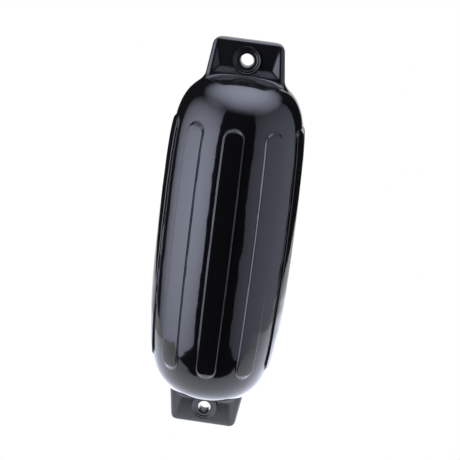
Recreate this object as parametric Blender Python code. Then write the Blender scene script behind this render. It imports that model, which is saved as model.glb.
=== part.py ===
# Inflatable twin-eye boat fender, moulded in soft vinyl, with its needle valve.
# Metres, +Z up. The origin is the middle of the barrel, on its axis. The eye holes run along Y
# and the flat eye lugs are wide along X.

from math import atan2, cos, hypot, pi, radians, sin

import bmesh
import bpy
import numpy as np
from mathutils import Matrix, Vector

# Barrel
OVERALL_LENGTH = 0.762
BARREL_DIAMETER = 0.256
BARREL_BELLY = 0.0785
WALL = 0.0032
SIDE_POWER = 8.2
CROWN_POWER = 2.76

# Raised ribs
RIB_COUNT = 10
RIB_WIDTH = 0.0402
RIB_FLANK = 0.0032
RIB_HEIGHT = 0.0033
RIB_SETBACK = 0.0545

# Eye lugs
LUG_LENGTH = 0.066
LUG_BASE_WIDTH = 0.1445
LUG_END_WIDTH = 0.132
LUG_BASE_THICKNESS = 0.030
LUG_END_THICKNESS = 0.026
LUG_EDGE_RADIUS = 0.009
LUG_CORNER_RADIUS = 0.016
LUG_RIM_RADIUS = 0.005
LUG_DISH = 0.0085
LUG_DISH_MARGIN = 0.0165
LUG_DISH_END_SLOPE = 0.25
SIDE_FILLET = 0.014
FACE_FILLET = 0.006
SHOULDER_RUN = 0.008

# Eyes
EYE_TO_END = 0.036
EYE_HOLE_DIAMETER = 0.0245
EYE_RING_DIAMETER = 0.0524
EYE_RING_HEIGHT = 0.0090
EYE_RING_BAND = 0.0035
EYE_COUNTERSINK = 0.0028

# Needle valve, in the back of the upper shoulder
VALVE_FLANGE_DIAMETER = 0.024
VALVE_FLANGE_THICKNESS = 0.0024
VALVE_STEM_DIAMETER = 0.014
VALVE_BARB_DIAMETER = 0.018
VALVE_BARB_LENGTH = 0.005
VALVE_TAIL_LENGTH = 0.010
VALVE_TAIL_DIAMETER = 0.009
VALVE_PAD_DIAMETER = 0.034
VALVE_PAD_HEIGHT = 0.0018
VALVE_COLLAR_DEPTH = 0.006
VALVE_SETBACK = 0.022
NEEDLE_DIAMETER = 0.0022
SCREW_HEAD_DIAMETER = 0.0095
SCREW_HEAD_THICKNESS = 0.0018
SCREW_SHANK_DIAMETER = 0.005
SCREW_SHANK_LENGTH = 0.010
SCREW_SLOT_WIDTH = 0.0012
SCREW_SLOT_DEPTH = 0.0009
SEAT_GAP = 0.0003

# How finely the skin is divided
ROUND_STEPS = 32
SMALL_ROUND_STEPS = 24
BARREL_STEPS = 3
SETBACK_STEPS = 3
SHOULDER_STEPS = 3
FILLET_STEPS = 2
LUG_STEPS = 4
END_STEPS = 3
MERGE = 1e-6

half_length = OVERALL_LENGTH / 2
barrel_radius = BARREL_DIAMETER / 2
body_half = half_length - LUG_LENGTH
eye_height = half_length - EYE_TO_END


class Meridian:
    """The barrel's side from its waist to its pole, a bellied Lame curve, read by the distance along it."""

    def __init__(self, radius, half_height):
        share = np.sin(np.linspace(0, pi / 2, 900))
        self.r = radius * (1 - BARREL_BELLY * share**2) * (1 - share**SIDE_POWER) ** (1 / CROWN_POWER)
        self.z = half_height * share
        self.arc = np.concatenate([[0], np.cumsum(np.hypot(np.diff(self.r), np.diff(self.z)))])

    def point(self, arc):
        return np.interp(arc, self.arc, self.r), np.interp(arc, self.arc, self.z)

    def normal(self, arc):
        step = 0.0005
        r0, z0 = self.point(max(arc - step, 0))
        r1, z1 = self.point(arc + step)
        run = hypot(r1 - r0, z1 - z0)
        return (z1 - z0) / run, (r0 - r1) / run

    def arc_at_radius(self, radius):
        return float(np.interp(-radius, -self.r, self.arc))

    def height(self, radius):
        return float(np.interp(-radius, -self.r, self.z))


skin = Meridian(barrel_radius, body_half)
neck_radius = LUG_BASE_WIDTH / 2 + SIDE_FILLET + SHOULDER_RUN
neck_arc = skin.arc_at_radius(neck_radius)
rib_tip_arc = neck_arc - RIB_SETBACK
rib_foot = RIB_WIDTH / 2
rib_top = rib_foot - RIB_FLANK
half_pitch = pi * barrel_radius / RIB_COUNT
rib_rings = [0, rib_top / 2, rib_top, rib_foot]


def new_object(name, mesh):
    thing = bpy.data.objects.new(name, mesh)
    bpy.context.scene.collection.objects.link(thing)
    return thing


def finish_mesh(bm, name):
    bmesh.ops.remove_doubles(bm, verts=bm.verts, dist=MERGE)
    bmesh.ops.recalc_face_normals(bm, faces=bm.faces)
    mesh = bpy.data.meshes.new(name)
    bm.to_mesh(mesh)
    bm.free()
    mesh.shade_smooth()
    mesh.set_sharp_from_angle(angle=radians(35))
    return mesh


def formed_tube(name, columns, rows, place):
    """A spun tube of rows and columns, each of whose points is then put where place says."""
    bm = bmesh.new()
    line = [bm.verts.new((1, 0, row)) for row in range(rows)]
    edges = [bm.edges.new(pair) for pair in zip(line, line[1:])]
    bmesh.ops.spin(
        bm, geom=line + edges, cent=(0, 0, 0), axis=(0, 0, 1), angle=2 * pi, steps=columns, use_merge=True
    )
    for vertex in bm.verts:
        column = round(atan2(vertex.co.y, vertex.co.x) / (2 * pi) * columns) % columns
        vertex.co = place(column, round(vertex.co.z))
    return finish_mesh(bm, name)


def turned(name, outline, steps):
    """A solid turned about Z from (radius, height) points, on the axis at both ends or a closed loop."""
    bm = bmesh.new()
    line = [bm.verts.new((radius, 0, height)) for radius, height in outline]
    pairs = list(zip(line, line[1:]))
    if outline[0][0] > 0:
        pairs.append((line[-1], line[0]))
    edges = [bm.edges.new(pair) for pair in pairs]
    bmesh.ops.spin(
        bm, geom=line + edges, cent=(0, 0, 0), axis=(0, 0, 1), angle=2 * pi, steps=steps, use_merge=True
    )
    return finish_mesh(bm, name)


def rounded_into_disc(u, v):
    """Moves a point of the square grid round a rib's end onto circles about the end's centre."""
    if v <= 0:
        return u, v
    ring = max(abs(u), v)
    side = 1 if u >= 0 else -1
    turn = pi / 4 * v / abs(u) if abs(u) >= v else pi / 2 - pi / 4 * abs(u) / v
    round_share = min(max((half_pitch - ring) / (half_pitch - rib_foot), 0), 1)
    disc_u, disc_v = side * ring * cos(turn), ring * sin(turn)
    return u + (disc_u - u) * round_share, v + (disc_v - v) * round_share


def rib_columns():
    """Where each column crosses the rib pitch: rib rings on both sides, and the valley's middle."""
    right = rib_rings[1:]
    return [0, *right, half_pitch, *[-u for u in reversed(right)]]


def barrel_arcs():
    """Distances from the waist at which the skin has a row, as far as the neck."""
    end_centre = rib_tip_arc - rib_foot
    straight = [end_centre * (step / BARREL_STEPS) ** 0.6 for step in range(BARREL_STEPS + 1)]
    ends = [end_centre + ring for ring in rib_rings[1:]]
    setback = [rib_tip_arc + RIB_SETBACK * step / SETBACK_STEPS for step in range(1, SETBACK_STEPS + 1)]
    return straight + ends + setback


def barrel_point(across, arc, column_angle, depth=0):
    """A point of the ribbed barrel: across is the distance from the middle of the nearest rib."""
    end_centre = rib_tip_arc - rib_foot
    u, v = rounded_into_disc(across, arc - end_centre)
    raised = max(abs(across), arc - end_centre) <= rib_top + MERGE
    r, z = skin.point(end_centre + v)
    out_r, out_z = skin.normal(end_centre + v)
    lift = (RIB_HEIGHT if raised else 0) - depth
    angle = column_angle + u / barrel_radius
    r, z = r + out_r * lift, z + out_z * lift
    return Vector((r * sin(angle), -r * cos(angle), z))


def lug_outline(column, columns, half_width, half_thickness, edge_radius):
    """A point round the lug's section, a rounded rectangle, and how far round to the side it is."""
    quarter = columns // 4
    side_steps = 2
    edge_steps = 4
    face_steps = quarter - side_steps - edge_steps
    place = column % columns
    mirror_y = 1 if place <= quarter or place > 3 * quarter else -1
    mirror_x = 1 if place <= 2 * quarter else -1
    step = place % (2 * quarter)
    step = step if step <= quarter else 2 * quarter - step
    edge_radius = min(edge_radius, half_thickness)
    if step <= face_steps:
        x, y, side = (half_width - edge_radius) * step / face_steps, -half_thickness, 0
    elif step <= face_steps + edge_steps:
        turn = pi / 2 * (step - face_steps) / edge_steps
        x = half_width - edge_radius + edge_radius * sin(turn)
        y = -(half_thickness - edge_radius) - edge_radius * cos(turn)
        side = sin(turn) ** 2
    else:
        x, side = half_width, 1
        y = -(half_thickness - edge_radius) * (quarter - step) / side_steps
    return Vector((mirror_x * x, mirror_y * y)), side


def dish(x, z, half_width):
    """How far the lug's face is sunk: three steep slopes, mitred, and a gentle one from the lug's end."""
    low = body_half + FACE_FILLET
    high = half_length - LUG_RIM_RADIUS
    inset = min(half_width - LUG_EDGE_RADIUS - abs(x), z - low, (high - z) * LUG_DISH_END_SLOPE)
    return LUG_DISH * min(max(inset / LUG_DISH_MARGIN, 0), 1)


def lug_stations():
    """The lug's rows above the neck: over the shoulder, up the fillet and wall, and round the end."""
    shoulder = [("shoulder", step / SHOULDER_STEPS) for step in range(1, SHOULDER_STEPS + 1)]
    fillet = [("fillet", pi / 2 * step / FILLET_STEPS) for step in range(1, FILLET_STEPS + 1)]
    wall = [("wall", step / LUG_STEPS) for step in range(1, LUG_STEPS + 1)]
    end = [("end", pi / 2 * step / END_STEPS) for step in range(1, END_STEPS + 1)]
    return shoulder + fillet + wall + end + [("seam", 0)]


def lug_point(column, columns, kind, share, neck_point):
    half_base, half_end = LUG_BASE_WIDTH / 2, LUG_END_WIDTH / 2
    thick_base, thick_end = LUG_BASE_THICKNESS / 2, LUG_END_THICKNESS / 2
    wall_foot, side = lug_outline(column, columns, half_base, thick_base, LUG_EDGE_RADIUS)
    fillet_foot, _ = lug_outline(
        column, columns, half_base + SIDE_FILLET, thick_base + FACE_FILLET, LUG_EDGE_RADIUS + FACE_FILLET
    )
    if kind == "shoulder":
        flat = neck_point.to_2d().lerp(fillet_foot, share)
        return Vector((*flat, skin.height(flat.length)))
    rise = (fillet_foot - wall_foot).length
    if kind == "fillet":
        flat = fillet_foot.lerp(wall_foot, sin(share))
        return Vector((*flat, skin.height(flat.length) + rise * (1 - cos(share))))
    foot_height = skin.height(wall_foot.length) + rise
    end_round = LUG_RIM_RADIUS + (LUG_CORNER_RADIUS - LUG_RIM_RADIUS) * side
    if kind == "wall":
        flat, _ = lug_outline(
            column,
            columns,
            half_base + (half_end - half_base) * share,
            thick_base + (thick_end - thick_base) * share,
            LUG_EDGE_RADIUS,
        )
        z = foot_height + (half_length - end_round - foot_height) * share
    else:
        turn = pi / 2 if kind == "seam" else share
        flat, _ = lug_outline(
            column,
            columns,
            half_end - LUG_CORNER_RADIUS * (1 - cos(turn)),
            thick_end - LUG_RIM_RADIUS * (1 - cos(turn)),
            LUG_EDGE_RADIUS,
        )
        z = half_length - end_round * (1 - sin(turn))
    if kind == "seam":
        flat.y = 0
    elif side == 0:
        sunk = dish(flat.x, z, half_base + (half_end - half_base) * (z - body_half) / LUG_LENGTH)
        flat.y += sunk if flat.y < 0 else -sunk
    return Vector((*flat, z))


def skin_mesh():
    """The whole outer skin, from the seam of the lower lug's end to that of the upper one's."""
    across = rib_columns()
    columns = RIB_COUNT * len(across)
    arcs = barrel_arcs()
    above = [("barrel", arc) for arc in arcs] + lug_stations()
    below = above[:0:-1]
    stations = below + above

    def place(column, row):
        kind, value = stations[row]
        rib, offset = divmod(column, len(across))
        shift = across[offset]
        angle = 2 * pi * (rib + 1 if shift < 0 else rib) / RIB_COUNT
        if kind == "barrel":
            point = barrel_point(shift, value, angle)
        else:
            neck_point = barrel_point(shift, arcs[-1], angle)
            point = lug_point(column, columns, kind, value, neck_point)
        if row < len(below):
            point.z = -point.z
        return point

    return formed_tube("fender_shell", columns, len(stations), place)


def cavity_mesh():
    """The air space: the barrel's skin moved in by the wall, closed over at both poles."""
    across = [rib_top, rib_foot, -rib_foot, -rib_top]
    columns = RIB_COUNT * len(across)
    arcs = [arc for arc in barrel_arcs() if arc < neck_arc - MERGE]
    pole_arc = skin.arc[-1]
    crown = [neck_arc + (pole_arc - neck_arc) * step / SHOULDER_STEPS for step in range(SHOULDER_STEPS)]
    above = [*arcs, *crown, pole_arc]
    below = above[:0:-1]
    stations = below + above

    def place(column, row):
        rib, offset = divmod(column, len(across))
        shift = across[offset]
        whole_turn = rib + 1 if shift < 0 else rib
        point = barrel_point(shift, stations[row], 2 * pi * whole_turn / RIB_COUNT, WALL)
        if stations[row] == pole_arc:
            point = Vector((0, 0, body_half - WALL))
        if row < len(below):
            point.z = -point.z
        return point

    return formed_tube("cavity", columns, len(stations), place)


def cut_or_join(target, tool, operation):
    tool.hide_render = True
    tool.display_type = "WIRE"
    boolean = target.modifiers.new(tool.name, "BOOLEAN")
    boolean.operation = operation
    boolean.solver = "EXACT"
    boolean.object = tool


def along_y(thing, height):
    """Turns a solid made about Z so that its axis runs along Y at an eye."""
    thing.matrix_world = Matrix.Translation((0, 0, height)) @ Matrix.Rotation(pi / 2, 4, "X")


def arc_points(centre, across, high, start, end, steps):
    """Points on a quarter-ellipse-like arc in the (radius, height) plane."""
    turns = [start + (end - start) * step / steps for step in range(steps + 1)]
    return [(centre[0] + across * cos(turn), centre[1] + high * sin(turn)) for turn in turns]


def mirrored_outline(upper):
    """An outline from the axis to mid height, and its mirror image back to the axis."""
    return upper + [(radius, -height) for radius, height in reversed(upper)]


def eye_ring_outline():
    """Half section of an eye's ring: a rounded bead standing above the sunk floor of each face."""
    crest = LUG_BASE_THICKNESS / 2 - LUG_DISH + EYE_RING_HEIGHT
    outer = EYE_RING_DIAMETER / 2
    bead = (outer - EYE_RING_BAND, crest - EYE_RING_BAND)
    return mirrored_outline([(0, crest), *arc_points(bead, EYE_RING_BAND, EYE_RING_BAND, pi / 2, 0, 3)])


def eye_hole_outline():
    """Half section of an eye's hole: a straight throat, opening out towards each face."""
    crest = LUG_BASE_THICKNESS / 2 - LUG_DISH + EYE_RING_HEIGHT
    throat = EYE_HOLE_DIAMETER / 2
    mouth = EYE_RING_DIAMETER / 2 - EYE_RING_BAND * 2
    clear = crest + EYE_COUNTERSINK
    flare = arc_points((mouth, crest - EYE_COUNTERSINK), mouth - throat, EYE_COUNTERSINK, pi / 2, pi, 3)
    return mirrored_outline([(0, clear), (mouth, clear), *flare])


def material(name, colour, roughness):
    made = bpy.data.materials.new(name)
    made.use_nodes = True
    shader = made.node_tree.nodes["Principled BSDF"]
    shader.inputs["Base Color"].default_value = (*colour, 1)
    shader.inputs["Roughness"].default_value = roughness
    shader.inputs["Metallic"].default_value = 0
    return made


def valve_frame():
    """Where the valve stands: on the back of the upper shoulder, its axis square to the skin."""
    arc = neck_arc - VALVE_SETBACK
    r, z = skin.point(arc)
    out_r, out_z = skin.normal(arc)
    return Matrix.Translation((0, r, z)) @ Matrix.Rotation(-atan2(out_r, out_z), 4, "X")


def valve_heights():
    """Heights along the valve's axis, from the skin: pad top, flange underside, collar foot."""
    seat = VALVE_PAD_HEIGHT - VALVE_FLANGE_THICKNESS / 2
    return VALVE_PAD_HEIGHT, seat + SEAT_GAP, -(WALL + VALVE_COLLAR_DEPTH)


def valve_collar_mesh():
    top, _, foot = valve_heights()
    radius = VALVE_PAD_DIAMETER / 2
    edge = VALVE_PAD_HEIGHT / 3
    outline = [(0, top), (radius - edge, top), (radius, top - edge), (radius, foot), (0, foot)]
    return turned("valve_collar", outline, SMALL_ROUND_STEPS)


def valve_port_mesh():
    top, under, foot = valve_heights()
    seat = VALVE_FLANGE_DIAMETER / 2 + SEAT_GAP
    bore = VALVE_STEM_DIAMETER / 2 + SEAT_GAP
    clear = 2 * VALVE_COLLAR_DEPTH
    outline = [
        (0, top + clear),
        (seat, top + clear),
        (seat, under - SEAT_GAP),
        (bore, under - SEAT_GAP),
        (bore, foot - clear),
        (0, foot - clear),
    ]
    return turned("valve_port", outline, SMALL_ROUND_STEPS)


def valve_body_mesh():
    _, under, foot = valve_heights()
    flange = VALVE_FLANGE_DIAMETER / 2
    top = under + VALVE_FLANGE_THICKNESS
    edge = VALVE_FLANGE_THICKNESS / 5
    stem = VALVE_STEM_DIAMETER / 2
    barb_top = foot - SEAT_GAP
    barb_foot = barb_top - VALVE_BARB_LENGTH
    tail_foot = barb_foot - VALVE_TAIL_LENGTH
    seat = SCREW_HEAD_DIAMETER / 2 + SEAT_GAP
    seat_floor = top - SCREW_HEAD_THICKNESS
    socket = SCREW_SHANK_DIAMETER / 2 + SEAT_GAP
    socket_floor = seat_floor - SCREW_SHANK_LENGTH - 2 * SEAT_GAP
    outline = [
        (flange - edge, top),
        (flange, top - edge),
        (flange, under),
        (stem, under),
        (stem, barb_top),
        (VALVE_BARB_DIAMETER / 2, barb_top),
        (stem, barb_foot),
        (VALVE_TAIL_DIAMETER / 2, barb_foot),
        (VALVE_TAIL_DIAMETER / 2, tail_foot),
        (NEEDLE_DIAMETER / 2, tail_foot),
        (NEEDLE_DIAMETER / 2, socket_floor),
        (socket, socket_floor),
        (socket, seat_floor),
        (seat, seat_floor),
        (seat, top),
    ]
    return turned("valve_body", outline, SMALL_ROUND_STEPS)


def valve_screw_mesh():
    _, under, _ = valve_heights()
    rest = under + VALVE_FLANGE_THICKNESS - SCREW_HEAD_THICKNESS + SEAT_GAP
    head = SCREW_HEAD_DIAMETER / 2
    shank = SCREW_SHANK_DIAMETER / 2
    edge = SCREW_HEAD_THICKNESS / 6
    outline = [
        (0, rest + SCREW_HEAD_THICKNESS),
        (head - edge, rest + SCREW_HEAD_THICKNESS),
        (head, rest + SCREW_HEAD_THICKNESS - edge),
        (head, rest),
        (shank, rest),
        (shank, rest - SCREW_SHANK_LENGTH + 2 * edge),
        (shank - edge, rest - SCREW_SHANK_LENGTH),
        (0, rest - SCREW_SHANK_LENGTH),
    ]
    return turned("valve_screw", outline, SMALL_ROUND_STEPS)


def screw_slot_mesh():
    _, under, _ = valve_heights()
    top = under + VALVE_FLANGE_THICKNESS + SEAT_GAP
    bm = bmesh.new()
    size = (SCREW_HEAD_DIAMETER * 1.2, SCREW_SLOT_WIDTH, 2 * SCREW_SLOT_DEPTH)
    bmesh.ops.create_cube(bm, size=1, matrix=Matrix.Translation((0, 0, top)) @ Matrix.Diagonal((*size, 1)))
    return finish_mesh(bm, "screw_slot")


for thing in list(bpy.data.objects):
    bpy.data.objects.remove(thing)

shell = new_object("fender_shell", skin_mesh())
shell.data.materials.append(material("gloss_vinyl", (0.012, 0.012, 0.014), 0.12))
cut_or_join(shell, new_object("cavity", cavity_mesh()), "DIFFERENCE")
for end in (1, -1):
    ring = new_object("eye_ring", turned("eye_ring", eye_ring_outline(), ROUND_STEPS))
    along_y(ring, end * eye_height)
    cut_or_join(shell, ring, "UNION")
    hole = new_object("eye_hole", turned("eye_hole", eye_hole_outline(), ROUND_STEPS))
    along_y(hole, end * eye_height)
    cut_or_join(shell, hole, "DIFFERENCE")

collar = new_object("valve_collar", valve_collar_mesh())
collar.matrix_world = valve_frame()
cut_or_join(shell, collar, "UNION")
port = new_object("valve_port", valve_port_mesh())
port.matrix_world = valve_frame()
cut_or_join(shell, port, "DIFFERENCE")

valve = new_object("valve_body", valve_body_mesh())
valve.matrix_world = valve_frame()
valve.data.materials.append(material("soft_vinyl", (0.02, 0.02, 0.022), 0.45))

screw = new_object("valve_screw", valve_screw_mesh())
screw.matrix_world = valve_frame()
screw.data.materials.append(material("plug_plastic", (0.62, 0.62, 0.6), 0.4))
slot = new_object("screw_slot", screw_slot_mesh())
slot.matrix_world = valve_frame()
cut_or_join(screw, slot, "DIFFERENCE")
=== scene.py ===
from math import atan2, cos, exp, hypot, log, pi, radians, sin

import bmesh
import bpy
import numpy as np
from mathutils import Matrix, Vector, noise


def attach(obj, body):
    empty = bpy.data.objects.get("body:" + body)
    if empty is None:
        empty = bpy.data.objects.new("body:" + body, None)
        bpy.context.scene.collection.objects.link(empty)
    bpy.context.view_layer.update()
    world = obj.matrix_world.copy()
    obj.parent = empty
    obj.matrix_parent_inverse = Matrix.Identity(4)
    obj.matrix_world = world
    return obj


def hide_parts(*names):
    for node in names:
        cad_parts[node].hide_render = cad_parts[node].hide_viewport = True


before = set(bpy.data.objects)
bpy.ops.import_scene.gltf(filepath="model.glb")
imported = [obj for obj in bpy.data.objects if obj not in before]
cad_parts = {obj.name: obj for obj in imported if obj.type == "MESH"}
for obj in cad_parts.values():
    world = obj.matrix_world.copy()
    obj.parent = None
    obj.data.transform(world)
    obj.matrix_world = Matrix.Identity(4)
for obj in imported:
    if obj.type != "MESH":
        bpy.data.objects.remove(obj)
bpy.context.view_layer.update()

# Fender shell
# One hollow moulding in soft black vinyl: a long barrel with ten raised ribs, two domed ends and a flat
# eye lug on each. It is spun in a hot metal mould, so the skin is glossy, seamless and slightly uneven.
BARREL_RADIUS = 0.128
BARREL_BELLY = 0.0785
HALF_LENGTH = 0.381
LUG_LENGTH = 0.066
SIDE_POWER = 8.2
CROWN_POWER = 2.76
WALL = 0.0032
BODY_HALF = HALF_LENGTH - LUG_LENGTH
BARREL_ROWS, NECK_ROWS, SHOULDER_ROWS, ROUND_ROWS = 30, 8, 9, 7

RIB_COUNT = 10
RIB_HEIGHT = 0.0033
RIB_FOOT = 0.0201
RIB_FLANK = 0.0025
RIB_END_FLANK = 0.0100
RIB_SETBACK = 0.0545
HALF_PITCH = pi * BARREL_RADIUS / RIB_COUNT
RIB_RINGS = [
    0, 0.0035, 0.007, 0.0098, 0.0122, 0.0140, 0.0155, 0.0166, 0.0174, 0.0180, 0.0186, 0.0192, 0.0198, 0.0204,
    0.0225, 0.0275, 0.0335, HALF_PITCH,
]
COLUMNS = 2 * (len(RIB_RINGS) - 1) * RIB_COUNT

LUG_BASE = (0.07225, 0.015)
LUG_END = (0.066, 0.013)
LUG_EDGE_RADIUS = 0.009
LUG_CORNER_RADIUS = 0.016
LUG_RIM_RADIUS = 0.005
SIDE_FILLET = 0.014
FACE_FILLET = 0.006
NECK_MARGIN = 0.008
NECK_RADIUS = LUG_BASE[0] + SIDE_FILLET + NECK_MARGIN
DISH_DEPTH = 0.0085
DISH_MARGIN = 0.0210
DISH_END_SLOPE = 0.32
DISH_CREASE = 0.0012

# The eye's lip and moulded rings are drawn by distance from the hole's middle and height over the mid plane.
EYE_SETBACK = 0.036
EYE_HEIGHT = HALF_LENGTH - EYE_SETBACK
EYE_RADIUS = 0.01225
EYE_PROFILE = [
    (0.01225, 0.0120), (0.0124, 0.0126), (0.0128, 0.0131), (0.0136, 0.0135), (0.0148, 0.01375),
    (0.0162, 0.0138), (0.0174, 0.0135), (0.0184, 0.0136), (0.0193, 0.0141), (0.0202, 0.0146),
    (0.0211, 0.0147), (0.0218, 0.0143), (0.0224, 0.0141), (0.0230, 0.0144), (0.0238, 0.0151),
    (0.0247, 0.0155), (0.0255, 0.0149),
]
EYE_RING_RADIUS = 0.0262
EYE_STEPS = [
    *np.linspace(0, EYE_RADIUS, 7), 0.0124, 0.0128, 0.0136, 0.0148, 0.0161, 0.0172, 0.0182, 0.0191, 0.0200,
    0.0209, 0.0218, 0.0227, 0.0235, 0.0243, 0.0251, 0.0258, EYE_RING_RADIUS, 0.0270, 0.0285,
]
FACE_STEPS = len(EYE_STEPS) + 25
EDGE_STEPS = 18
LUG_FOOT = EYE_HEIGHT - EYE_STEPS[-1]

SKIN_STEPS = 1500
skin_share = np.sin(np.linspace(0, pi / 2, SKIN_STEPS))
skin_belly = 1 - BARREL_BELLY * skin_share**2
skin_r = BARREL_RADIUS * skin_belly * (1 - skin_share**SIDE_POWER) ** (1 / CROWN_POWER)
skin_z = BODY_HALF * skin_share
skin_arc = np.concatenate([[0], np.cumsum(np.hypot(np.diff(skin_r), np.diff(skin_z)))])
NECK_ARC = float(np.interp(-NECK_RADIUS, -skin_r, skin_arc))
RIB_END = NECK_ARC - RIB_SETBACK - RIB_FOOT


def skin_point(arc):
    """Radius and height of the plain barrel at a distance along its side from the waist."""
    return float(np.interp(arc, skin_arc, skin_r)), float(np.interp(arc, skin_arc, skin_z))


def skin_normal(arc):
    """The barrel's outward direction there, as its share across and its share along."""
    reach = 0.002
    r0, z0 = skin_point(max(arc - reach, 0))
    r1, z1 = skin_point(arc + reach)
    run = hypot(r1 - r0, z1 - z0)
    return (z1 - z0) / run, (r0 - r1) / run


def dome_height(radius):
    """Height of the plain barrel's skin at a distance from its axis."""
    return float(np.interp(-radius, -skin_r, skin_z))


def eased(share):
    """Goes from 0 to 1 in a soft S curve."""
    share = min(max(share, 0), 1)
    return share * share * (3 - 2 * share)


def soft_ramp(share, softness=0.05):
    """Rises evenly from 0 to 1, with both ends of the slope slightly rounded."""
    rise = log(1 + exp(share / softness)) - log(1 + exp((share - 1) / softness))
    return softness * rise


def rounded_into_disc(u, v, disc, square):
    """Moves a point of a square grid onto a circle within disc of the middle, easing off by square."""
    ring = max(abs(u), abs(v))
    if ring < 1e-9:
        return u, v
    turn = atan2(v, u)
    quarter = round(turn / (pi / 2)) * pi / 2
    along = u * cos(quarter) + v * sin(quarter)
    across = v * cos(quarter) - u * sin(quarter)
    new_turn = quarter + pi / 4 * across / along
    share = min(max((square - ring) / (square - disc), 0), 1)
    return u + (ring * cos(new_turn) - u) * share, v + (ring * sin(new_turn) - v) * share


def barrel_point(across, arc, angle, depth=0.0):
    """A point of the ribbed skin; across is its distance from the middle line of the nearest rib."""
    u, v = across, arc - RIB_END
    if v > 0:
        u, v = rounded_into_disc(u, v, RIB_FOOT, HALF_PITCH)
    r, z = skin_point(RIB_END + v)
    out_r, out_z = skin_normal(RIB_END + v)
    past = max(arc - RIB_END, 0)
    ring = max(abs(across), past, 1e-9)
    endwise = past / ring / 2 if past < abs(across) else 1 - abs(across) / ring / 2
    endwise = eased(endwise)
    rise = (RIB_FOOT - ring) / (RIB_FLANK + (RIB_END_FLANK - RIB_FLANK) * endwise)
    lift = RIB_HEIGHT * (eased(rise) + (soft_ramp(rise) - eased(rise)) * endwise) - depth
    turn = angle + u / BARREL_RADIUS
    return Vector(((r + out_r * lift) * sin(turn), -(r + out_r * lift) * cos(turn), z + out_z * lift))


def face_across(step, edge):
    """Distances from the middle of a lug's face at which the mesh has a column."""
    last = len(EYE_STEPS) - 1
    if step <= last:
        return EYE_STEPS[step]
    return EYE_STEPS[last] + (edge - EYE_STEPS[last]) * (step - last) / (FACE_STEPS - last)


def lug_section(column, half_width, half_thickness, edge_radius):
    """A point round the lug's section, a flat bar with rounded edges, and how far round its edge that is."""
    quarter = COLUMNS // 4
    front = -1 if column <= quarter or column > 3 * quarter else 1
    right = 1 if column <= 2 * quarter else -1
    step = column % (2 * quarter)
    step = min(step, 2 * quarter - step)
    radius = min(edge_radius, half_thickness)
    if step <= FACE_STEPS:
        return Vector((right * face_across(step, half_width - radius), front * half_thickness)), 0.0
    if step <= FACE_STEPS + EDGE_STEPS:
        turn = pi / 2 * (step - FACE_STEPS) / EDGE_STEPS
        x = half_width - radius + radius * sin(turn)
        y = half_thickness - radius + radius * cos(turn)
        return Vector((right * x, front * y)), sin(turn) ** 2
    y = (half_thickness - radius) * (quarter - step) / (quarter - FACE_STEPS - EDGE_STEPS)
    return Vector((right * half_width, front * y)), 1.0


def soft_least(values, softness):
    """The least of some values, rounded off where two of them are nearly the same."""
    return -softness * log(sum(exp(-value / softness) for value in values))


def face_depth(x, z, edge, half_thickness):
    """How far a lug's face stands from the mid plane: a mitred dish, with the eye's ring in it."""
    from_end = (HALF_LENGTH - LUG_RIM_RADIUS - z) * DISH_END_SLOPE
    inset = soft_least([edge - abs(x), z - LUG_FOOT, from_end], DISH_CREASE)
    floor = half_thickness - DISH_DEPTH * (soft_ramp(inset / DISH_MARGIN) - soft_ramp(0))
    from_eye = hypot(x, z - EYE_HEIGHT)
    if from_eye >= EYE_RING_RADIUS:
        return floor
    radii, heights = zip(*EYE_PROFILE)
    ring = float(np.interp(from_eye, radii, heights))
    foot = eased((EYE_RING_RADIUS - from_eye) / (EYE_RING_RADIUS - radii[-1]))
    return floor + (ring - floor) * foot


def lug_point(column, kind, share, neck_point):
    """A point of one of the rows that lead from the barrel's neck over the lug to its end."""
    base, wall_side = lug_section(column, *LUG_BASE, LUG_EDGE_RADIUS)
    foot, _ = lug_section(
        column, LUG_BASE[0] + SIDE_FILLET, LUG_BASE[1] + FACE_FILLET, LUG_EDGE_RADIUS + FACE_FILLET
    )
    if kind == "shoulder":
        flat = neck_point.to_2d().lerp(foot, share)
        return Vector((*flat, dome_height(flat.length)))
    if kind == "fillet":
        flat = foot.lerp(base, sin(share))
        rise = LUG_FOOT - dome_height(base.length)
        return Vector((*flat, dome_height(flat.length) + rise * (1 - cos(share))))
    end_round = LUG_RIM_RADIUS + (LUG_CORNER_RADIUS - LUG_RIM_RADIUS) * wall_side
    if kind == "wall":
        face_z = share
        top = HALF_LENGTH - end_round
        share = (face_z - LUG_FOOT) / (HALF_LENGTH - LUG_RIM_RADIUS - LUG_FOOT)
        z = LUG_FOOT + (top - LUG_FOOT) * share
        half_width = LUG_BASE[0] + (LUG_END[0] - LUG_BASE[0]) * share
        half_thickness = LUG_BASE[1] + (LUG_END[1] - LUG_BASE[1]) * share
        flat, side = lug_section(column, half_width, half_thickness, LUG_EDGE_RADIUS)
        if side == 0:
            edge = half_width - LUG_EDGE_RADIUS
            if max(abs(flat.x), abs(z - EYE_HEIGHT)) < EYE_STEPS[-1]:
                x, dz = rounded_into_disc(flat.x, z - EYE_HEIGHT, EYE_RING_RADIUS, EYE_STEPS[-1])
                flat.x, z = x, EYE_HEIGHT + dz
            depth = face_depth(flat.x, z, edge, half_thickness)
            flat.y = depth if flat.y > 0 else -depth
        return Vector((*flat, z))
    turn = pi / 2 if kind == "seam" else share
    flat, _ = lug_section(
        column,
        LUG_END[0] - LUG_CORNER_RADIUS * (1 - cos(turn)),
        LUG_END[1] - LUG_RIM_RADIUS * (1 - cos(turn)),
        LUG_EDGE_RADIUS,
    )
    if kind == "seam":
        flat.y = 0
    return Vector((*flat, HALF_LENGTH - end_round * (1 - sin(turn))))


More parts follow.
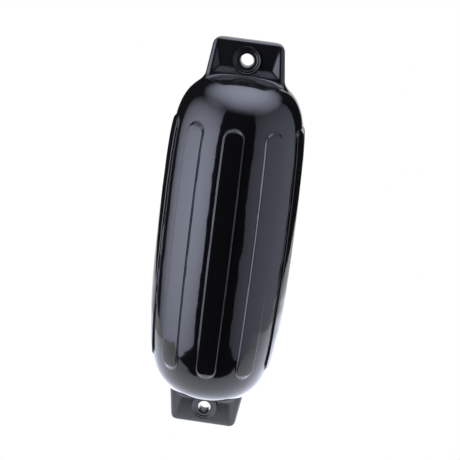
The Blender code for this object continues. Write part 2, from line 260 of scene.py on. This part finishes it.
def shell_stations():
    """The rows of the upper half of the skin, from the waist to the seam along the lug's end."""
    barrel = list(np.linspace(0, RIB_END, BARREL_ROWS))
    barrel += [RIB_END + ring for ring in RIB_RINGS[1:]]
    barrel += list(np.linspace(barrel[-1], NECK_ARC, NECK_ROWS)[1:])
    rows = [("barrel", arc) for arc in barrel]
    rows += [("shoulder", share) for share in np.linspace(0, 1, SHOULDER_ROWS)[1:]]
    rows += [("fillet", turn) for turn in np.linspace(0, pi / 2, ROUND_ROWS)[1:]]
    rows += [("wall", EYE_HEIGHT - step) for step in reversed(EYE_STEPS[:-1])]
    rows += [("wall", EYE_HEIGHT + step) for step in EYE_STEPS[1:]]
    rows += [("end", turn) for turn in np.linspace(0, pi / 2, ROUND_ROWS)]
    return rows + [("seam", 0.0)]


SAME_PLACE = 1e-6


def merged_mesh(bm, name):
    bmesh.ops.remove_doubles(bm, verts=bm.verts, dist=SAME_PLACE)
    bmesh.ops.recalc_face_normals(bm, faces=bm.faces)
    mesh = bpy.data.meshes.new(name)
    bm.to_mesh(mesh)
    bm.free()
    return mesh


def new_piece(name, mesh):
    piece = bpy.data.objects.new(name, mesh)
    bpy.context.scene.collection.objects.link(piece)
    return piece


def spun_rows(columns, rows):
    """A plain spun tube, one unit of height to a row, ready for its points to be put in place."""
    bm = bmesh.new()
    line = [bm.verts.new((1, 0, row)) for row in range(rows)]
    edges = [bm.edges.new(pair) for pair in zip(line, line[1:])]
    bmesh.ops.spin(
        bm, geom=line + edges, cent=(0, 0, 0), axis=(0, 0, 1), angle=2 * pi, steps=columns, use_merge=True
    )
    return bm


BROAD_SINK = 0.00026
RIPPLE_SINK = 0.00030


def waves(point, around, along, start=0):
    """Soft random waves from -1 to 1, so many to a metre around the barrel and along it."""
    return noise.noise(Vector((point.x * around + start, point.y * around, point.z * along)))


def unevenness(point):
    """The skin is never quite true: it sinks by a few tenths of a millimetre here and there."""
    return BROAD_SINK * (waves(point, 16, 13) - 1) + RIPPLE_SINK * (waves(point, 26, 46, start=5) - 1)


def round_rib(rings):
    """Distances of the columns of one rib pitch from the rib's middle, going round from it."""
    return [*rings, *[-ring for ring in reversed(rings[1:-1])]]


def shell_mesh():
    """The whole outer skin, with the two eye holes cut through it and closed along their bores."""
    across = round_rib(RIB_RINGS)
    above = shell_stations()
    below = above[:0:-1]
    stations = below + above
    bm = spun_rows(COLUMNS, len(stations))
    for vertex in bm.verts:
        column = round(atan2(vertex.co.y, vertex.co.x) / (2 * pi) * COLUMNS) % COLUMNS
        row = round(vertex.co.z)
        kind, value = stations[row]
        rib, offset = divmod(column, len(across))
        shift = across[offset]
        angle = 2 * pi * (rib + (shift < 0)) / RIB_COUNT
        if kind == "barrel":
            point = barrel_point(shift, value, angle)
        else:
            neck_point = barrel_point(shift, NECK_ARC, angle)
            point = lug_point(column, kind, value, neck_point)
        if row < len(below):
            point.z = -point.z
        if kind in ("barrel", "shoulder"):
            fade = 1 if kind == "barrel" else 1 - value
            outward = Vector((point.x, point.y, 0)).normalized()
            point += outward * unevenness(point) * fade
        vertex.co = point
    for end in (1, -1):
        eye = Vector((0, 0, end * EYE_HEIGHT))
        inside = []
        for face in bm.faces:
            middle = face.calc_center_median() - eye
            if hypot(middle.x, middle.z) < EYE_RADIUS and abs(middle.y) < 2 * LUG_BASE[1]:
                inside.append(face)
        hole = set(inside)
        rim = [edge for edge in bm.edges if len(hole.intersection(edge.link_faces)) == 1]
        bmesh.ops.delete(bm, geom=inside, context="FACES")
        bmesh.ops.bridge_loops(bm, edges=rim)
    return merged_mesh(bm, "shell")


def polished(name, colour, roughness):
    """A new material with a plain Principled shader, and its node tree."""
    material = bpy.data.materials.new(name)
    material.use_nodes = True
    shader = material.node_tree.nodes["Principled BSDF"]
    shader.inputs["Base Color"].default_value = (*colour, 1)
    shader.inputs["Roughness"].default_value = roughness
    return material, material.node_tree, shader


def noise_on(tree, scale, detail, stretch=(1, 1, 1)):
    """A noise pattern fixed to the piece, drawn out along the axes by stretch."""
    place = tree.nodes.new("ShaderNodeTexCoord")
    mapping = tree.nodes.new("ShaderNodeMapping")
    mapping.inputs["Scale"].default_value = stretch
    pattern = tree.nodes.new("ShaderNodeTexNoise")
    pattern.inputs["Scale"].default_value = scale
    pattern.inputs["Detail"].default_value = detail
    tree.links.new(place.outputs["Object"], mapping.inputs["Vector"])
    tree.links.new(mapping.outputs["Vector"], pattern.inputs["Vector"])
    return pattern.outputs["Fac"]


def ranged(tree, value, low, high):
    """A pattern of 0 to 1 stretched to run from low to high."""
    span = tree.nodes.new("ShaderNodeMapRange")
    span.inputs["To Min"].default_value = low
    span.inputs["To Max"].default_value = high
    tree.links.new(value, span.inputs["Value"])
    return span.outputs["Result"]


def bumped(tree, height, distance, onto=None):
    """A surface raised by a pattern, up to a distance in metres, and laid over an earlier bump."""
    bump = tree.nodes.new("ShaderNodeBump")
    bump.inputs["Strength"].default_value = 1.0
    bump.inputs["Distance"].default_value = distance
    tree.links.new(height, bump.inputs["Height"])
    if onto is not None:
        tree.links.new(onto, bump.inputs["Normal"])
    return bump.outputs["Normal"]


def matte_beyond(tree, polish, start, end, matte):
    """Turns a roughness into a duller one past a height, at both ends of the piece."""
    place = tree.nodes.new("ShaderNodeTexCoord")
    axes = tree.nodes.new("ShaderNodeSeparateXYZ")
    reach = tree.nodes.new("ShaderNodeMath")
    reach.operation = "ABSOLUTE"
    share = tree.nodes.new("ShaderNodeMapRange")
    share.inputs["From Min"].default_value = start
    share.inputs["From Max"].default_value = end
    mix = tree.nodes.new("ShaderNodeMix")
    mix.inputs["B"].default_value = matte
    tree.links.new(place.outputs["Object"], axes.inputs["Vector"])
    tree.links.new(axes.outputs["Z"], reach.inputs[0])
    tree.links.new(reach.outputs["Value"], share.inputs["Value"])
    tree.links.new(share.outputs["Result"], mix.inputs["Factor"])
    tree.links.new(polish, mix.inputs["A"])
    return mix.outputs["Result"]


VINYL_BLACK = (0.0030, 0.0030, 0.0031)
VINYL_IOR = 1.52
SKIN_ROUGHNESS = (0.045, 0.10)
LUG_ROUGHNESS = 0.27
LUG_DULL_FROM = BODY_HALF - 0.012
LUG_DULL_TO = BODY_HALF + 0.004
SWELL_HEIGHT = 0.00028
PEEL_HEIGHT = 0.000004


def glossy_vinyl():
    """Black vinyl as it comes off a polished mould, and duller on the two lugs."""
    material, tree, shader = polished("glossy_vinyl", VINYL_BLACK, SKIN_ROUGHNESS[0])
    shader.inputs["IOR"].default_value = VINYL_IOR
    smear = noise_on(tree, scale=9, detail=4, stretch=(1, 1, 0.4))
    polish = ranged(tree, smear, *SKIN_ROUGHNESS)
    roughness = matte_beyond(tree, polish, LUG_DULL_FROM, LUG_DULL_TO, LUG_ROUGHNESS)
    tree.links.new(roughness, shader.inputs["Roughness"])
    swell = bumped(tree, noise_on(tree, scale=34, detail=2, stretch=(1, 1, 0.8)), SWELL_HEIGHT)
    peel = bumped(tree, noise_on(tree, scale=420, detail=1), PEEL_HEIGHT, swell)
    tree.links.new(peel, shader.inputs["Normal"])
    return material


def air_space():
    """The inside of the shell: its own shape one wall further in, closed over at both poles."""
    across = round_rib(RIB_RINGS[::4] + [HALF_PITCH])
    pole_arc = float(skin_arc[-1])
    arcs = [*np.linspace(0, RIB_END, 7), *[RIB_END + ring for ring in RIB_RINGS[3:-1:3]]]
    arcs += [*np.linspace(RIB_END + HALF_PITCH, NECK_ARC, 4), *np.linspace(NECK_ARC, pole_arc, 8)[1:]]
    stations = [-arc for arc in reversed(arcs[1:])] + arcs
    columns = len(across) * RIB_COUNT
    bm = spun_rows(columns, len(stations))
    for vertex in bm.verts:
        column = round(atan2(vertex.co.y, vertex.co.x) / (2 * pi) * columns) % columns
        arc = stations[round(vertex.co.z)]
        rib, offset = divmod(column, len(across))
        shift = across[offset]
        point = barrel_point(shift, abs(arc), 2 * pi * (rib + (shift < 0)) / RIB_COUNT, WALL)
        if abs(arc) == pole_arc:
            point = Vector((0, 0, BODY_HALF - WALL))
        if arc < 0:
            point.z = -point.z
        vertex.co = point
    return merged_mesh(bm, "air_space")


def turned(outline, steps):
    """A solid turned about Z from (radius, height) points, on the axis at both ends or a closed loop."""
    bm = bmesh.new()
    line = [bm.verts.new((radius, 0, height)) for radius, height in outline]
    pairs = list(zip(line, line[1:]))
    if outline[0][0] > 0:
        pairs.append((line[-1], line[0]))
    edges = [bm.edges.new(pair) for pair in pairs]
    bmesh.ops.spin(
        bm, geom=line + edges, cent=(0, 0, 0), axis=(0, 0, 1), angle=2 * pi, steps=steps, use_merge=True
    )
    bmesh.ops.remove_doubles(bm, verts=bm.verts, dist=SAME_PLACE)
    bmesh.ops.recalc_face_normals(bm, faces=bm.faces)
    return bm


def soften(bm, width):
    """Rounds every corner of a turned solid by a small width."""
    corners = [edge for edge in bm.edges if edge.is_manifold and edge.calc_face_angle() > radians(40)]
    bmesh.ops.bevel(
        bm, geom=corners, offset=width, segments=3, profile=0.5,
        affect="EDGES", material=-1, clamp_overlap=True,
    )


def carve(piece, tool_mesh, operation):
    """Joins a mesh to a piece or cuts it out of it, for good."""
    tool = new_piece("tool", tool_mesh)
    boolean = piece.modifiers.new("carve", "BOOLEAN")
    boolean.operation = operation
    boolean.solver = "EXACT"
    boolean.object = tool
    carved = bpy.data.meshes.new_from_object(piece.evaluated_get(bpy.context.evaluated_depsgraph_get()))
    piece.modifiers.clear()
    piece.data = carved
    bpy.data.objects.remove(tool)


def finished(piece, material, sharp_angle):
    """Gives a piece its one material, and smooth shading up to its sharp corners."""
    piece.data.materials.clear()
    piece.data.materials.append(material)
    piece.data.shade_smooth()
    piece.data.set_sharp_from_angle(angle=sharp_angle)


VALVE_SETBACK = 0.022
VALVE_PAD = (0.017, 0.0018)
VALVE_COLLAR_DEPTH = 0.006
FLANGE_RADIUS = 0.012
FLANGE_THICKNESS = 0.0024
STEM_RADIUS = 0.007
SEAT_GAP = 0.0003
FLANGE_FOOT = VALVE_PAD[1] - FLANGE_THICKNESS / 2 + SEAT_GAP
COLLAR_FOOT = -(WALL + VALVE_COLLAR_DEPTH)
valve_radius, valve_height = skin_point(NECK_ARC - VALVE_SETBACK)
valve_out, valve_up = skin_normal(NECK_ARC - VALVE_SETBACK)
VALVE_PLACE = Matrix.Translation((0, valve_radius, valve_height)) @ Matrix.Rotation(
    -atan2(valve_out, valve_up), 4, "X"
)


def placed_at_valve(bm, name):
    bmesh.ops.transform(bm, matrix=VALVE_PLACE, verts=bm.verts)
    return merged_mesh(bm, name)


def valve_pad():
    """The thick round pad that holds the valve, standing a little above the skin and well inside it."""
    radius, top = VALVE_PAD
    bm = turned([(0, top), (radius, top), (radius, COLLAR_FOOT), (0, COLLAR_FOOT)], steps=96)
    soften(bm, width=0.0006)
    return placed_at_valve(bm, "valve_pad")


def valve_port():
    """The seat for the valve's flange and the bore for its stem."""
    seat, bore, clear = FLANGE_RADIUS + SEAT_GAP, STEM_RADIUS + SEAT_GAP, 0.012
    floor = FLANGE_FOOT - SEAT_GAP
    outline = [(0, clear), (seat, clear), (seat, floor), (bore, floor), (bore, -2 * clear), (0, -2 * clear)]
    return placed_at_valve(turned(outline, steps=96), "valve_port")


shell = new_piece("fender", shell_mesh())
for tool_mesh, operation in (
    (air_space(), "DIFFERENCE"),
    (valve_pad(), "UNION"),
    (valve_port(), "DIFFERENCE"),
):
    carve(shell, tool_mesh, operation)
finished(shell, glossy_vinyl(), radians(42))
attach(shell, "root")
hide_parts("fender_shell")

# Valve
# A soft vinyl plug with a flange that lies in the shell's pad and a barb that grips behind it. A needle
# goes down its middle to blow the fender up; it is moulded in one piece and pressed in.
SCREW_HEAD = (0.00475, 0.0018)
SCREW_SHANK = (0.0025, 0.010)
NEEDLE_RADIUS = 0.0011
BARB_RADIUS, BARB_LENGTH = 0.009, 0.005
TAIL_RADIUS, TAIL_LENGTH = 0.0045, 0.010
GROOVE_START, GROOVE_END = 0.0009, 0.0022
GROOVE_SLOPE, GROOVE_DEPTH = 0.0003, 0.0004
VALVE_SHARP = radians(35)
FLANGE_TOP = FLANGE_FOOT + FLANGE_THICKNESS


def valve_mesh():
    """The plug turned about its needle hole, with a seat for the screw and a groove round it."""
    barb_top = COLLAR_FOOT - SEAT_GAP
    barb_foot = barb_top - BARB_LENGTH
    tail_foot = barb_foot - TAIL_LENGTH
    seat, socket = SCREW_HEAD[0] + SEAT_GAP, SCREW_SHANK[0] + SEAT_GAP
    seat_floor = FLANGE_TOP - SCREW_HEAD[1]
    socket_floor = seat_floor - SCREW_SHANK[1] - 2 * SEAT_GAP
    groove_in, groove_out, groove_floor = seat + GROOVE_START, seat + GROOVE_END, FLANGE_TOP - GROOVE_DEPTH
    outline = [
        (FLANGE_RADIUS, FLANGE_TOP),
        (FLANGE_RADIUS, FLANGE_FOOT),
        (STEM_RADIUS, FLANGE_FOOT),
        (STEM_RADIUS, barb_top),
        (BARB_RADIUS, barb_top),
        (STEM_RADIUS, barb_foot),
        (TAIL_RADIUS, barb_foot),
        (TAIL_RADIUS, tail_foot),
        (NEEDLE_RADIUS, tail_foot),
        (NEEDLE_RADIUS, socket_floor),
        (socket, socket_floor),
        (socket, seat_floor),
        (seat, seat_floor),
        (seat, FLANGE_TOP),
        (groove_in, FLANGE_TOP),
        (groove_in + GROOVE_SLOPE, groove_floor),
        (groove_out - GROOVE_SLOPE, groove_floor),
        (groove_out, FLANGE_TOP),
    ]
    bm = turned(outline, steps=96)
    soften(bm, width=0.00022)
    return placed_at_valve(bm, "valve")


def soft_rubbery_vinyl():
    """Softer black vinyl with a fine dull grain."""
    material, tree, shader = polished("soft_vinyl", colour=(0.016, 0.016, 0.017), roughness=0.42)
    wear = ranged(tree, noise_on(tree, scale=60, detail=3), low=0.34, high=0.5)
    grain = bumped(tree, noise_on(tree, scale=900, detail=2), distance=0.00002)
    tree.links.new(wear, shader.inputs["Roughness"])
    tree.links.new(grain, shader.inputs["Normal"])
    return material


valve = new_piece("valve", valve_mesh())
finished(valve, soft_rubbery_vinyl(), VALVE_SHARP)
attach(valve, "root")
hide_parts("valve_body")

# Valve screw
# A small white nylon screw with a slotted head, turned into the middle of the valve to close it. It is
# moulded in one piece, and a coin or a screwdriver fits its slot.
SLOT_WIDTH = 0.0012
SLOT_DEPTH = 0.0009
SLOT_LENGTH = SCREW_HEAD[0] * 2.4
HEAD_TOP = FLANGE_TOP + SEAT_GAP


def screw_mesh():
    rest = HEAD_TOP - SCREW_HEAD[1]
    foot = rest - SCREW_SHANK[1]
    outline = [
        (0, HEAD_TOP),
        (SCREW_HEAD[0], HEAD_TOP),
        (SCREW_HEAD[0], rest),
        (SCREW_SHANK[0], rest),
        (SCREW_SHANK[0], foot),
        (0, foot),
    ]
    bm = turned(outline, steps=64)
    soften(bm, width=0.00025)
    return merged_mesh(bm, "screw")


def screw_slot():
    bm = bmesh.new()
    size = Matrix.Diagonal((SLOT_LENGTH, SLOT_WIDTH, 2 * SLOT_DEPTH, 1))
    bmesh.ops.create_cube(bm, size=1, matrix=Matrix.Translation((0, 0, HEAD_TOP)) @ size)
    return merged_mesh(bm, "screw_slot")


def white_nylon():
    material, tree, shader = polished("white_nylon", colour=(0.62, 0.62, 0.60), roughness=0.38)
    satin = ranged(tree, noise_on(tree, scale=300, detail=3), low=0.3, high=0.46)
    tree.links.new(satin, shader.inputs["Roughness"])
    return material


screw = new_piece("valve_screw_nylon", screw_mesh())
carve(screw, screw_slot(), "DIFFERENCE")
screw.data.transform(VALVE_PLACE)
finished(screw, white_nylon(), VALVE_SHARP)
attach(screw, "root")
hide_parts("valve_screw")

# Camera
# The photograph looks down a little on the fender, which leans to the right in the frame. It was taken from
# about two metres away with a long lens, a few degrees to the right of the middle.
CAMERA_TURN = radians(3.0)
CAMERA_DISTANCE = 2.124
CAMERA_HEIGHT = 0.6508
CAMERA_TARGET = Vector((0.0067, 0.0004, 0.0198))
CAMERA_ROLL = 0.124
camera_data = bpy.data.cameras.new("camera")
camera_data.sensor_width = 36
camera_data.lens = 91.33
camera = new_piece("camera", camera_data)
camera.location = (
    CAMERA_DISTANCE * sin(CAMERA_TURN),
    -CAMERA_DISTANCE * cos(CAMERA_TURN),
    CAMERA_HEIGHT,
)
aim = (CAMERA_TARGET - camera.location).to_track_quat("-Z", "Y")
camera.rotation_euler = (aim.to_matrix() @ Matrix.Rotation(CAMERA_ROLL, 3, "Z")).to_euler()
bpy.context.scene.camera = camera

# Sweep, backdrop and lamps
# A sheet of pale paper lies under the hanging fender and curves up behind it. Tall soft boxes stand at the
# left and right, an oval one hangs above and a low light table lies on the paper. The room in front is dark.
PAPER_HEIGHT = -0.41
PAPER_FRONT = -0.27
PAPER_BACK = 2.2
PAPER_TOP = 1.6
PAPER_BEND = 0.5
PAPER_FRONT_SPAN = (-0.48, 0.55)
PAPER_SPAN = (-0.72, 0.92)
PAPER_SPREAD = 0.5


def white_background(tree, plain, white):
    """Puts full white over a plain surface for what the camera, gloss and glass see of it."""
    path = tree.nodes.new("ShaderNodeLightPath")
    seen = path.outputs["Is Camera Ray"]
    for kind in ("Is Glossy Ray", "Is Transmission Ray"):
        either = tree.nodes.new("ShaderNodeMath")
        either.operation = "MAXIMUM"
        tree.links.new(seen, either.inputs[0])
        tree.links.new(path.outputs[kind], either.inputs[1])
        seen = either.outputs["Value"]
    mix = tree.nodes.new("ShaderNodeMixShader")
    tree.links.new(seen, mix.inputs["Fac"])
    tree.links.new(plain, mix.inputs[1])
    tree.links.new(white, mix.inputs[2])
    return mix.outputs["Shader"]


paper_bm = bmesh.new()
bend_turns = [pi / 2 * step / 12 for step in range(13)]
paper_line = [(PAPER_FRONT, PAPER_HEIGHT), (PAPER_SPREAD, PAPER_HEIGHT)]
paper_line += [
    (PAPER_BACK - PAPER_BEND + PAPER_BEND * sin(turn), PAPER_HEIGHT + PAPER_BEND * (1 - cos(turn)))
    for turn in bend_turns
]
paper_line += [(PAPER_BACK, PAPER_TOP)]
left_edge = [paper_bm.verts.new((0, y, z)) for y, z in paper_line]
paper_edges = [paper_bm.edges.new(pair) for pair in zip(left_edge, left_edge[1:])]
bmesh.ops.extrude_edge_only(paper_bm, edges=paper_edges)
for vertex in paper_bm.verts:
    at_front = vertex.co.y < (PAPER_FRONT + PAPER_SPREAD) / 2
    span = PAPER_FRONT_SPAN if at_front else PAPER_SPAN
    vertex.co.x = span[vertex not in left_edge]
paper = new_piece("paper_sweep", merged_mesh(paper_bm, "paper_sweep"))
paper_material, paper_tree, paper_shader = polished("pale_paper", (0.86, 0.86, 0.87), 0.6)
paper.data.materials.append(paper_material)
paper_white = paper_tree.nodes.new("ShaderNodeEmission")
paper_surface = white_background(paper_tree, paper_shader.outputs["BSDF"], paper_white.outputs["Emission"])
paper_tree.links.new(paper_surface, paper_tree.nodes["Material Output"].inputs["Surface"])

# Only the camera sees a white room. The gloss shows the room dark, as it does in the photograph.
DARK_ROOM = (0.014, 0.013, 0.013)
world = bpy.data.worlds.new("studio")
bpy.context.scene.world = world
world.use_nodes = True
world_tree = world.node_tree
room = world_tree.nodes["Background"]
room.inputs["Color"].default_value = (*DARK_ROOM, 1)
white_room = world_tree.nodes.new("ShaderNodeBackground")
white_room.inputs["Color"].default_value = (1, 1, 1, 1)
room_path = world_tree.nodes.new("ShaderNodeLightPath")
room_mix = world_tree.nodes.new("ShaderNodeMixShader")
world_tree.links.new(room_path.outputs["Is Camera Ray"], room_mix.inputs["Fac"])
world_tree.links.new(room.outputs["Background"], room_mix.inputs[1])
world_tree.links.new(white_room.outputs["Background"], room_mix.inputs[2])
world_tree.links.new(room_mix.outputs["Shader"], world_tree.nodes["World Output"].inputs["Surface"])

DAYLIGHT = (0.75, 0.80, 1.0)


def soft_box(name, place, towards, width, height, glow, bright, fade, shape="RECTANGLE"):
    """A flat lamp, brightest at a place on its cloth and dark by a distance across and up from it.

    Glow is its brightness there against a white wall's, and the cloth's width and height count as 1.
    """
    data = bpy.data.lights.new(name, "AREA")
    data.shape = shape
    data.size = width
    data.size_y = height
    data.energy = glow * pi * width * height
    data.color = DAYLIGHT
    data.use_nodes = True
    tree = data.node_tree
    place_on_cloth = tree.nodes.new("ShaderNodeNewGeometry")
    from_bright = tree.nodes.new("ShaderNodeVectorMath")
    from_bright.operation = "SUBTRACT"
    from_bright.inputs[1].default_value = (*bright, 0)
    shared_out = tree.nodes.new("ShaderNodeVectorMath")
    shared_out.operation = "DIVIDE"
    shared_out.inputs[1].default_value = (*fade, 1)
    reach = tree.nodes.new("ShaderNodeVectorMath")
    reach.operation = "LENGTH"
    fall = tree.nodes.new("ShaderNodeMapRange")
    fall.interpolation_type = "SMOOTHSTEP"
    fall.inputs["To Min"].default_value = 1
    fall.inputs["To Max"].default_value = 0
    tree.links.new(place_on_cloth.outputs["Parametric"], from_bright.inputs[0])
    tree.links.new(from_bright.outputs["Vector"], shared_out.inputs[0])
    tree.links.new(shared_out.outputs["Vector"], reach.inputs[0])
    tree.links.new(reach.outputs["Value"], fall.inputs["Value"])
    tree.links.new(fall.outputs["Result"], tree.nodes["Emission"].inputs["Strength"])
    lamp = new_piece(name, data)
    lamp.location = place
    lamp.rotation_euler = (Vector(towards) - Vector(place)).to_track_quat("-Z", "Y").to_euler()
    lamp.visible_camera = False


def standing_box(name, near, far, foot, top, glow, bright, fade):
    """A soft box standing upright between two places on the floor plan, facing the fender."""
    near, far = Vector(near), Vector(far)
    across = far - near
    middle = (near + far) / 2
    facing = Vector((across.y, -across.x))
    if facing.dot(middle) > 0:
        facing = -facing
    height = (foot + top) / 2
    place = (middle.x, middle.y, height)
    towards = (middle.x + facing.x, middle.y + facing.y, height)
    soft_box(name, place, towards, across.length, top - foot, glow, bright, fade)


def lying_box(name, middle, height, width, depth, glow, bright, fade, shape="RECTANGLE"):
    """A soft box lying flat at a height, facing the fender's middle height."""
    soft_box(name, (*middle, height), (*middle, 0), width, depth, glow, bright, fade, shape)


standing_box(
    "left_box", near=(-0.60, -1.06), far=(-1.12, 0.44), foot=-0.75, top=1.17,
    glow=5.4, bright=(0.72, 0.36), fade=(0.95, 0.8),
)
standing_box(
    "right_box", near=(0.66, -1.10), far=(1.08, 0.52), foot=-0.75, top=1.5,
    glow=1.42, bright=(0.5, 0.32), fade=(1.2, 0.95),
)
lying_box(
    "top_box", middle=(0.02, -0.25), height=1.2, width=2.5, depth=3.0,
    glow=4.6, bright=(0.52, 0.54), fade=(0.58, 0.46), shape="ELLIPSE",
)
lying_box(
    "light_table", middle=(0.08, 0.28), height=PAPER_HEIGHT + 0.005, width=1.2, depth=1.1,
    glow=3.9, bright=(0.5, 0.5), fade=(0.8, 0.68),
)

bpy.context.scene.view_settings.view_transform = "Standard"
